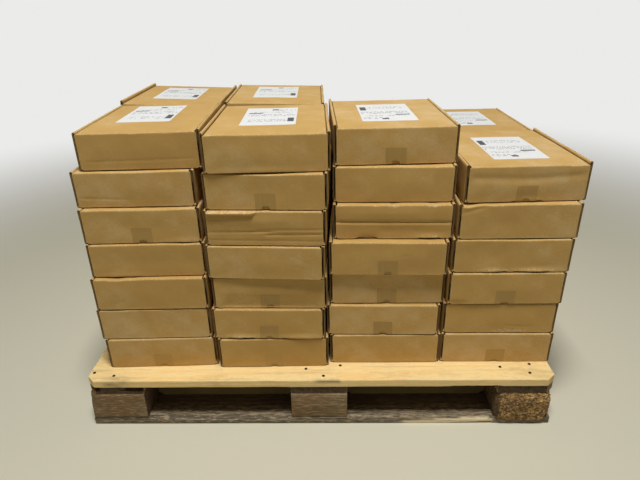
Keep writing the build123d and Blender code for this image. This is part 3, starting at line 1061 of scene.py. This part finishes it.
def chipped_deck(points):
    """The front deck board: a crack along its top edge and a ragged lower edge at the right."""
    front, top, bottom = -PALLET[1], DECK_HIGH[2], DECK_LOW[2]
    x, y, z = points.T
    rough = ripple(points * MM * 90, 31)
    near = smooth_step((front + 5 - y) / 3)
    crack = near * smooth_step((x + 14) / 8) * smooth_step((60 - x) / 8)
    z -= crack * smooth_step((z - top + 4) / 3) * (1.8 + 0.8 * rough)
    broken = near * smooth_step((x - 330) / 20) * smooth_step((470 - x) / 20)
    broken = broken * smooth_step((bottom + 4 - z) / 3)
    z += broken * (1.4 + 1.8 * rough).clip(0)
    knot = near * hill(x, -541, 15) * hill(z, 132, 7)
    stain = hill(x, -520, 34) * hill(y, front + 6, 16) * (0.3 + 0.3 * rough).clip(0)
    # The crack and the broken lower edge get painted shade, the knot and the stain are the board's own dark
    # marks
    return -(crack * hill(z, top - 4, 4) * 0.7 + broken * 0.6 + knot * 0.45 + stain).clip(0, 0.9)


def lay_wood(node, slot, material, seed, order, special=None, edges=(), usual=None, **form):
    """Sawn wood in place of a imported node. Its solids take their seeds in order of place, and the one
    at the pallet's low edges, along the axes in edges, is carved by special."""
    wood = Timber()
    islands = sorted(packed_islands(node), key=lambda points: tuple(points.mean(0).round(4)[list(order)]))
    for place, points in enumerate(islands):
        low, high = extent(points / MM)
        at_edges = all(low[k] < 1 - PALLET[k] for k in edges)
        wood.plank(low, high, seed + place, carve=special if at_edges else usual, **form)
    settle(wood.make(node + "_sawn", [material]), slot, node)


CHIP_SEED = 11


def chip_block(material):
    """The block of pressed chips: swollen, with worn corners, its front sagging over the bottom board."""
    low, high = [np.array(corner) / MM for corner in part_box("chip_block")]
    middle, half = (low + high) / 2, (high - low) / 2
    grown = bmesh.new()
    bmesh.ops.create_cube(grown, size=2)
    bmesh.ops.subdivide_edges(grown, edges=grown.edges[:], cuts=56, use_grid_fill=True)
    core = np.array([vertex.co for vertex in grown.verts]) * half
    radius = np.array((17.0, 12.0, 9.0))
    held = np.clip(core, radius - half, half - radius)
    off = (core - held) / radius
    normal = off / np.maximum(np.linalg.norm(off, axis=1, keepdims=True), 1e-6)
    points = held + normal * radius
    x, y, z = points.T
    below = smooth_step((-z - half[2] + 34) / 34)
    above = smooth_step((z - half[2] + 30) / 30)
    x -= np.sign(x) * (below ** 2 * 9.0 + above * 2.5)
    x -= smooth_step(x / half[0]) * (-y / half[1]).clip(0, 1) * 9.0
    y += (y < 0) * (below ** 2 * 1.0 + above * 5.5)
    behind = smooth_step((y + middle[1] + PALLET[1] - 0.5) / 3)
    z[:] = np.where(behind > 0.5, np.maximum(z, BOARD_TOP - middle[2] + 0.3), z)
    coarse = ripple(points * MM * 45, CHIP_SEED)
    fine = ripple(points * MM * 210, CHIP_SEED + 5, 3)
    level = smooth_step((half[2] - np.abs(z) - 0.5) / 4)
    inward = (1.3 + 0.9 * coarse + 1.3 * fine).clip(0.0) * (0.25 + 0.75 * level)
    points += middle - normal * inward[:, None]
    for vertex, point in zip(grown.verts, points * MM):
        vertex.co = point
    mesh = bpy.data.meshes.new("chip_core")
    grown.to_mesh(mesh)
    grown.free()
    mesh.materials.append(material)
    mesh.polygons.foreach_set("use_smooth", [True] * len(mesh.polygons))
    return add_object("chip_core", mesh)


def hold_inside(piece, node):
    """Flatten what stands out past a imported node's box."""
    low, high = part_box(node)
    for vertex in piece.data.vertices:
        vertex.co = np.clip(vertex.co, low, high)


# Geometry Nodes

class Nodes:
    """A Geometry Nodes tree with named inputs, which ends realized and with its material set."""

    def __init__(self, title, **inputs):
        self.tree = bpy.data.node_groups.new(title, "GeometryNodeTree")
        for way in ("INPUT", "OUTPUT"):
            self.tree.interface.new_socket("Geometry", in_out=way, socket_type="NodeSocketGeometry")
        self.inputs = {}
        for label, (kind, value) in inputs.items():
            socket = self.tree.interface.new_socket(label, in_out="INPUT", socket_type="NodeSocket" + kind)
            socket.default_value = value
            self.inputs[label] = socket
        self.source = self.tree.nodes.new("NodeGroupInput")

    def __getitem__(self, label):
        return Wire(self.tree, self.source.outputs[label])

    def add(self, kind, links, output=0, **settings):
        return Wire(self.tree, None).node(kind, settings, links, output)

    def random_turn(self, tilt):
        """A random turn about the upright, with a tilt of up to so much."""
        links = {0: (-tilt, -tilt, 0.0), 1: (tilt, tilt, 6.28), "Seed": self["Seed"]}
        return self.add("FunctionNodeRandomValue", links, data_type="FLOAT_VECTOR")

    def finish(self, geometry, material):
        solid = self.add("GeometryNodeRealizeInstances", {"Geometry": geometry})
        painted = self.add("GeometryNodeSetMaterial", {"Geometry": solid, "Material": material})
        painted.link(self.tree.nodes.new("NodeGroupOutput"), {"Geometry": painted})

    def apply(self, piece, **values):
        """Sets the named inputs, then keeps the evaluated result as the piece's mesh."""
        modifier = piece.modifiers.new(self.tree.name, "NODES")
        modifier.node_group = self.tree
        for label, value in values.items():
            modifier[self.inputs[label].identifier] = value
        piece.update_tag()
        view = bpy.context.evaluated_depsgraph_get()
        mesh = bpy.data.meshes.new_from_object(piece.evaluated_get(view))
        piece.modifiers.remove(modifier)
        piece.data = mesh
        return piece


def nail_heads(name, spots, material, sizes):
    """Flat nail heads at the given points, each a little tilted in its own way."""
    mesh = bpy.data.meshes.new(name)
    mesh.from_pydata(spots, [], [])
    piece = add_object(name, mesh)
    nodes = Nodes("nail_heads", Head_Radius=("Float", sizes.nail_radius),
                  Head_Thickness=("Float", sizes.nail_thickness), Seed=("Int", 4))
    head = nodes.add("GeometryNodeMeshCylinder",
                     {"Vertices": 14, "Radius": nodes["Head_Radius"], "Depth": nodes["Head_Thickness"]})
    placed = nodes.add("GeometryNodeInstanceOnPoints",
                       {"Points": nodes["Geometry"], "Instance": head, "Rotation": nodes.random_turn(0.05)})
    nodes.finish(placed, material)
    return nodes.apply(piece, Head_Radius=sizes.nail_radius, Head_Thickness=sizes.nail_thickness, Seed=4)


def loose_chips(core, material, sizes):
    """Flakes that stand off the chip block's faces."""
    nodes = Nodes("loose_chips", Density=("Float", sizes.chip_density), Length=("Float", sizes.chip_length),
                  Seed=("Int", 7))
    links = {"Mesh": nodes["Geometry"], "Density": nodes["Density"], "Seed": nodes["Seed"]}
    points = nodes.add("GeometryNodeDistributePointsOnFaces", links, "Points")
    flake = nodes.add("GeometryNodeMeshCube", {"Size": (1.0, 0.28, 0.09)})
    upright = Wire(nodes.tree, points.socket.node.outputs["Rotation"])
    turned = nodes.add("FunctionNodeRotateRotation", {0: upright, 1: nodes.random_turn(0.35)},
                       rotation_space="LOCAL")
    links = {2: 0.45, 3: 1.0, "Seed": nodes["Seed"]}
    size = nodes.add("FunctionNodeRandomValue", links, 1, data_type="FLOAT") * nodes["Length"]
    links = {"Points": points, "Instance": flake, "Rotation": turned, "Scale": size}
    placed = nodes.add("GeometryNodeInstanceOnPoints", links)
    joined = nodes.add("GeometryNodeJoinGeometry", {0: placed})
    joined.link(joined.socket.node, {0: nodes["Geometry"]})
    nodes.finish(joined, material)
    return nodes.apply(core, Density=sizes.chip_density, Length=sizes.chip_length, Seed=7)


# Nails of the front deck board as photographed, and the usual places over a block for the rest
FRONT_NAILS = [(-589, -366), (-533, -378), (-34, -354), (12, -382), (56, -341),
               (471, -350), (550, -339), (540, -374)]
NAIL_PATTERN = [(-48, -36), (6, 30), (44, -18)]

# Where the cross boards lie along the pallet, in metres, and a line behind the front deck board's edge
CROSSINGS = (-0.5275, 0.0, 0.5275)
FRONT_LINE = -0.39


def nail_spots(sizes):
    """Nail places on the deck's top and the bottom boards' underside."""
    decks, bases = [[extent(points) for points in packed_islands(node)]
                    for node in ("deck_boards", "bottom_boards")]
    top = max(high[2] for low, high in decks) - sizes.nail_thickness * 0.3
    bottom = min(low[2] for low, high in bases) + sizes.nail_thickness * 0.75
    places = [(x * MM, y * MM, top) for x, y in FRONT_NAILS]
    boards = [(*deck, top) for deck in decks if deck[0][1] >= FRONT_LINE]
    boards += [(*base, bottom) for base in bases]
    for low, high, height in boards:
        middle, half = (low[1] + high[1]) / 2, (high[1] - low[1]) / 2
        for crossing in CROSSINGS:
            for k, (x, y) in enumerate(NAIL_PATTERN):
                shift = math.sin(crossing * 9 + low[1] * 17 + k) * 0.006
                places.append((crossing + x * MM + shift, middle + y / 50 * half * 0.9, height))
    return places


# Settings

def metres(title, words, default):
    return FloatProperty(name=title, description=words, default=default, min=0.0, max=1.0, unit="LENGTH",
                         precision=4)


def paint(title, words, default):
    return FloatVectorProperty(name=title, description=words, default=default, min=0, max=1, size=3,
                               subtype="COLOR")


def number(title, words, default, **limits):
    return FloatProperty(name=title, description=words, default=default, **limits)


class LOAD_PG_boxes(bpy.types.PropertyGroup):
    """Sizes of the mailers' folded board and of what lies on it"""

    board: metres("Board Thickness", "Thickness of the corrugated board", 0.0026)
    fold_radius: metres("Fold Radius", "Outer radius of the lid's front and back folds", 0.0040)
    wall_width: metres("Wall Width", "Width of the rolled side walls", 0.0073)
    panel_gap: metres("Panel Margin", "From the box's side to the edge of its front panel", 0.0067)
    lid_gap: metres("Lid Margin", "From the box's side to the edge of its lid", 0.0104)
    foot_gap: metres("Foot Gap", "Gap under the front panel", 0.0012)
    wall_setback: metres("Wall Setback", "How far the walls stand behind the front panel", 0.0028)
    notch_radius: metres("Notch Radius", "Radius of the thumb notch", 0.0095)
    lid_crown: metres("Lid Crown", "How far an unloaded lid rises in its middle", 0.0025)
    kraft: paint("Board Colour", "Colour of the brown board", (0.56, 0.342, 0.098))
    # Also the colour of the painted highlight on the folds
    kraft_worn_and_highlight: paint("Worn Colour", "Colour of rubbed folds", (0.74, 0.56, 0.31))
    kraft_dark: paint("Deep Colour", "Colour of the board's darker fibres", (0.46, 0.265, 0.07))
    tape: paint("Tape Colour", "Colour of the brown tape", (0.47, 0.285, 0.072))
    label: paint("Sticker Colour", "Colour of the sticker paper", (0.80, 0.80, 0.78))
    ink: paint("Rule Colour", "Colour of the sticker's rules", (0.26, 0.26, 0.27))


class LOAD_PG_pallet(bpy.types.PropertyGroup):
    """Sizes and colours of the pallet"""

    edge: metres("Board Edge", "Wear of the boards' long edges", 0.0024)
    block_edge: metres("Block Edge", "Wear of the blocks' edges", 0.0035)
    nail_radius: metres("Nail Radius", "Radius of the nail heads", 0.0040)
    nail_thickness: metres("Nail Thickness", "Thickness of the nail heads", 0.0016)
    chip_length: metres("Chip Length", "Length of the longest wood chips", 0.008)
    chip_density: number("Chip Density", "Loose chips per square metre", 90000.0, min=0, max=200000)
    deck_wood: paint("Deck Wood", "Colour of the fresh deck boards", (1.0, 0.75, 0.345))
    deck_ring: paint("Deck Rings", "Colour of the deck boards' rings", (0.97, 0.63, 0.24))
    old_wood: paint("Old Wood", "Colour of the blocks and bottom boards", (0.25, 0.152, 0.064))
    old_ring: paint("Old Rings", "Colour of the old wood's rings", (0.17, 0.095, 0.04))
    weathered: paint("Weathered Wood", "Colour of wood greyed by weather", (0.30, 0.225, 0.13))
    scuffed: paint("Scuffed Wood", "Colour of the bottom boards, greyed and scuffed", (0.275, 0.215, 0.135))
    chip_pale: paint("Pale Chips", "Colour of the palest chips", (0.92, 0.60, 0.23))
    chip_deep: paint("Deep Chips", "Colour of the darker chips", (0.50, 0.29, 0.095))
    # Also the colour of the painted shade on the chip block's inner side
    chip_grime_and_shade: paint("Chip Grime", "Colour of damp and dirt between the chips", (0.13, 0.068, 0.022))
    nail_bare: paint("Nail Steel", "Colour of the bare nail heads", (0.014, 0.012, 0.01))
    nail_rust: paint("Nail Rust", "Colour of the rusted nail heads", (0.035, 0.018, 0.009))


class LOAD_PG_stage(bpy.types.PropertyGroup):
    """Lens, lamps and floor"""

    lens: number("Lens", "Focal length of the camera", 29.19, min=8, max=200, unit="CAMERA")
    key_power: number("Key Lamp", "Power of the broad lamp overhead", 134.0, min=0, unit="POWER")
    fill_power: number("Fill Lamp", "Power of the lamp in front", 0.35, min=0, unit="POWER")
    sky_strength: number("Sky Light", "Strength of the light from all round", 0.028, min=0)
    floor: paint("Floor Colour", "Colour of the floor", (0.72, 0.685, 0.53))
    haze: paint("Haze Colour", "Colour of the sky and of the far floor", (0.83, 0.83, 0.82))


# Operators

# The finished boxes, for the patches that lie on them
mailers = []


class LOAD_OT_boxes(bpy.types.Operator):
    """Builds the folded mailers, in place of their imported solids"""

    bl_idname = "pallet_load.boxes"
    bl_label = "Mailer Boxes"

    def execute(self, context):
        sizes = context.scene.load_boxes
        nodes = sorted(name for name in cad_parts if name.startswith("box_"))
        if not nodes:
            raise RuntimeError("The packed model has no boxes")
        materials = [kraft(sizes.kraft, sizes.kraft_worn_and_highlight, sizes.kraft_dark),
                     fluted_edge(sizes.kraft, sizes.kraft_dark)]
        mailers[:] = [Mailer(node, sizes) for node in nodes]
        for mailer in mailers:
            mailer.make(materials)
        return {"FINISHED"}


class LOAD_OT_tapes(bpy.types.Operator):
    """Builds the tape patch at the foot of each tuck panel"""

    bl_idname = "pallet_load.tapes"
    bl_label = "Tape Patches"

    def execute(self, context):
        sizes = context.scene.load_boxes
        patches = Patches()
        for points in packed_islands("tapes"):
            add_tape(patches, *nearest_box(mailers, points))
        settle(patches.make("tape_patches", [brown_tape(sizes.tape, sizes.kraft)]), "brown_tape", "tapes")
        return {"FINISHED"}


class LOAD_OT_labels(bpy.types.Operator):
    """Builds the stickers on the lids of the top boxes"""

    bl_idname = "pallet_load.labels"
    bl_label = "Stickers"

    def execute(self, context):
        sizes = context.scene.load_boxes
        patches = Patches()
        for points in packed_islands("labels"):
            add_label(patches, *nearest_box([mailer for mailer in mailers if mailer.top], points))
        settle(patches.make("lid_stickers", [label_paper(sizes.label, sizes.ink)]), "label_paper", "labels")
        return {"FINISHED"}


class LOAD_OT_deck(bpy.types.Operator):
    """Builds the deck boards and the cross boards under them"""

    bl_idname = "pallet_load.deck"
    bl_label = "Deck"

    def execute(self, context):
        pallet = context.scene.load_pallet
        fresh = timber("deck_timber", pallet.deck_wood, pallet.deck_ring, pallet.weathered, 0.05, stain=0.3)
        mixed = timber("cross_timber", pallet.old_wood, pallet.old_ring, pallet.weathered, 0.6)
        form = {"order": (2, 1, 0), "edge": pallet.edge / MM, "step": 10}
        lay_wood("deck_boards", "deck_timber", fresh, 3, special=chipped_deck, edges=(1,), axis=0, **form)
        lay_wood("cross_boards", "deck_timber", mixed, 21, special=split_end, edges=(0,), usual=short_end,
                 axis=1, **form)
        return {"FINISHED"}


class LOAD_OT_blocks(bpy.types.Operator):
    """Builds the sawn blocks and the bottom boards"""

    bl_idname = "pallet_load.blocks"
    bl_label = "Blocks and Bottom Boards"

    def execute(self, context):
        pallet = context.scene.load_pallet
        old = timber("block_timber", pallet.old_wood, pallet.old_ring, pallet.weathered, 0.5,
                     stain=0.5, damp=0.4)
        base = timber("base_timber", pallet.old_wood, pallet.old_ring, pallet.scuffed, 0.95, damp=0.35)
        lay_wood("timber_blocks", "block_timber", old, 40, order=(0, 1, 2), special=worn_corner, edges=(0, 1),
                 axis=0, edge=pallet.block_edge / MM, step=5)
        lay_wood("bottom_boards", "base_timber", base, 60, order=(1,), special=torn_edge, edges=(1,),
                 axis=0, edge=pallet.edge / MM, step=8, bevels=BEVELS)
        return {"FINISHED"}


class LOAD_OT_chip_block(bpy.types.Operator):
    """Builds the block of pressed chips at the front right corner"""

    bl_idname = "pallet_load.chip_block"
    bl_label = "Chip Block"

    def execute(self, context):
        pallet = context.scene.load_pallet
        chips = pressed_chips(pallet.chip_pale, pallet.chip_deep, pallet.chip_grime_and_shade)
        block = loose_chips(chip_block(chips), chips, pallet)
        hold_inside(block, "chip_block")
        settle(block, "chip_timber", "chip_block")
        return {"FINISHED"}


class LOAD_OT_nails(bpy.types.Operator):
    """Places the nail heads of the deck and the bottom boards"""

    bl_idname = "pallet_load.nails"
    bl_label = "Nails"

    def execute(self, context):
        pallet = context.scene.load_pallet
        steel = nail_steel(pallet.nail_bare, pallet.nail_rust)
        settle(nail_heads("nail_heads", nail_spots(pallet), steel, pallet), "deck_timber")
        return {"FINISHED"}


# The camera that took the photo: its place, and its heading, pitch and roll in degrees
CAMERA_PLACE = (0.040, -1.441, 1.024)
CAMERA_TURNS = (1.56, 25.05, -1.30)
SENSOR_WIDTH = 36.0

# Half the floor's width in metres, and the tints of the lamps and of the sky's light
FLOOR_REACH = 14.0
KEY_TINT = (1.0, 1.0, 1.0)
FILL_TINT = (1.0, 0.84, 0.62)
SKY_LIGHT = (1.0, 0.94, 0.83)


class LOAD_OT_stage(bpy.types.Operator):
    """Adds the floor, the lamps, the sky and the camera"""

    bl_idname = "pallet_load.stage"
    bl_label = "Stage"

    def execute(self, context):
        stage = context.scene.load_stage
        context.scene.view_settings.view_transform = "Standard"
        mesh = bpy.data.meshes.new("floor")
        corners = [(x * FLOOR_REACH, y * FLOOR_REACH, 0) for x, y in ((-1, -1), (1, -1), (1, 1), (-1, 1))]
        mesh.from_pydata(corners, [], [(0, 1, 2, 3)])
        mesh.materials.append(floor_paint(stage.floor, stage.haze))
        add_object("floor", mesh)
        self.lamp("key_lamp", stage.key_power, KEY_TINT, size=0.9, spot=(0.1, -1.09, 4.1),
                  aim=(0.0, -0.1, 0.5))
        self.lamp("fill_lamp", stage.fill_power, FILL_TINT, size=2.5, spot=(-1.2, -4.0, 2.6),
                  aim=(0.0, 0.0, 0.4))
        self.sky(context.scene, stage.haze, stage.sky_strength)
        self.camera(context.scene, stage.lens)
        return {"FINISHED"}

    def lamp(self, name, power, tint, size, spot, aim):
        """A square lamp at spot that looks at aim."""
        lamp = bpy.data.lights.new(name, "AREA")
        lamp.energy = power
        lamp.color = tint
        lamp.size = size
        holder = add_object(name, lamp)
        holder.location = spot
        holder.rotation_euler = (Vector(aim) - Vector(spot)).to_track_quat("-Z", "Y").to_euler()

    def sky(self, scene, haze, strength):
        """A pale sky for the camera and for mirrors, and a softer one for the light on the load."""
        scene.world = bpy.data.worlds.new("pale_sky")
        scene.world.use_nodes = True
        tree = scene.world.node_tree
        tree.nodes.clear()
        blank = Wire(tree, None)
        seen = blank.node("ShaderNodeBackground", None, {"Color": shade(haze)})
        lit = blank.node("ShaderNodeBackground", None, {"Color": shade(SKY_LIGHT), "Strength": strength})
        mixed = blank.node("ShaderNodeMixShader", None, {0: seen_rays(blank), 1: lit, 2: seen})
        blank.link(tree.nodes.new("ShaderNodeOutputWorld"), {"Surface": mixed})

    def camera(self, scene, lens):
        """The photo's camera, placed and turned."""
        heading, pitch, roll = [math.radians(turn) for turn in CAMERA_TURNS]
        forward = Vector((-math.sin(heading) * math.cos(pitch), math.cos(heading) * math.cos(pitch),
                          -math.sin(pitch)))
        side = forward.cross(Vector((0, 0, 1))).normalized()
        below = forward.cross(side).normalized()
        right = side * math.cos(roll) - below * math.sin(roll)
        down = side * math.sin(roll) + below * math.cos(roll)
        camera = bpy.data.cameras.new("photo_camera")
        camera.lens = lens
        camera.sensor_width = SENSOR_WIDTH
        camera.sensor_fit = "HORIZONTAL"
        holder = add_object("photo_camera", camera)
        place = Matrix((right, -down, -forward)).transposed().to_4x4()
        place.translation = Vector(CAMERA_PLACE)
        holder.matrix_world = place
        scene.camera = holder


class LOAD_PT_panel(bpy.types.Panel):
    """Lists the settings and the operators"""

    bl_idname = "LOAD_PT_panel"
    bl_label = "Pallet Load"
    bl_space_type = "VIEW_3D"
    bl_region_type = "UI"
    bl_category = "Pallet Load"

    def draw(self, context):
        for title in GROUPS:
            group = getattr(context.scene, title)
            box = self.layout.box()
            box.label(text=title.removeprefix("load_").title())
            for name in group.__annotations__:
                box.prop(group, name)
        for operator in OPERATORS:
            self.layout.operator(operator.bl_idname)


OPERATORS = (LOAD_OT_deck, LOAD_OT_blocks, LOAD_OT_chip_block, LOAD_OT_nails, LOAD_OT_boxes, LOAD_OT_tapes,
             LOAD_OT_labels, LOAD_OT_stage)
GROUPS = {"load_boxes": LOAD_PG_boxes, "load_pallet": LOAD_PG_pallet, "load_stage": LOAD_PG_stage}


def register():
    for name, group in GROUPS.items():
        bpy.utils.register_class(group)
        setattr(bpy.types.Scene, name, PointerProperty(type=group))
    for item in (*OPERATORS, LOAD_PT_panel):
        bpy.utils.register_class(item)


def unregister():
    for item in (LOAD_PT_panel, *reversed(OPERATORS)):
        bpy.utils.unregister_class(item)
    for name, group in GROUPS.items():
        delattr(bpy.types.Scene, name)
        bpy.utils.unregister_class(group)


def main():
    register()
    for operator in OPERATORS:
        family, name = operator.bl_idname.split(".")
        getattr(getattr(bpy.ops, family), name)()


if __name__ == "__main__":
    main()
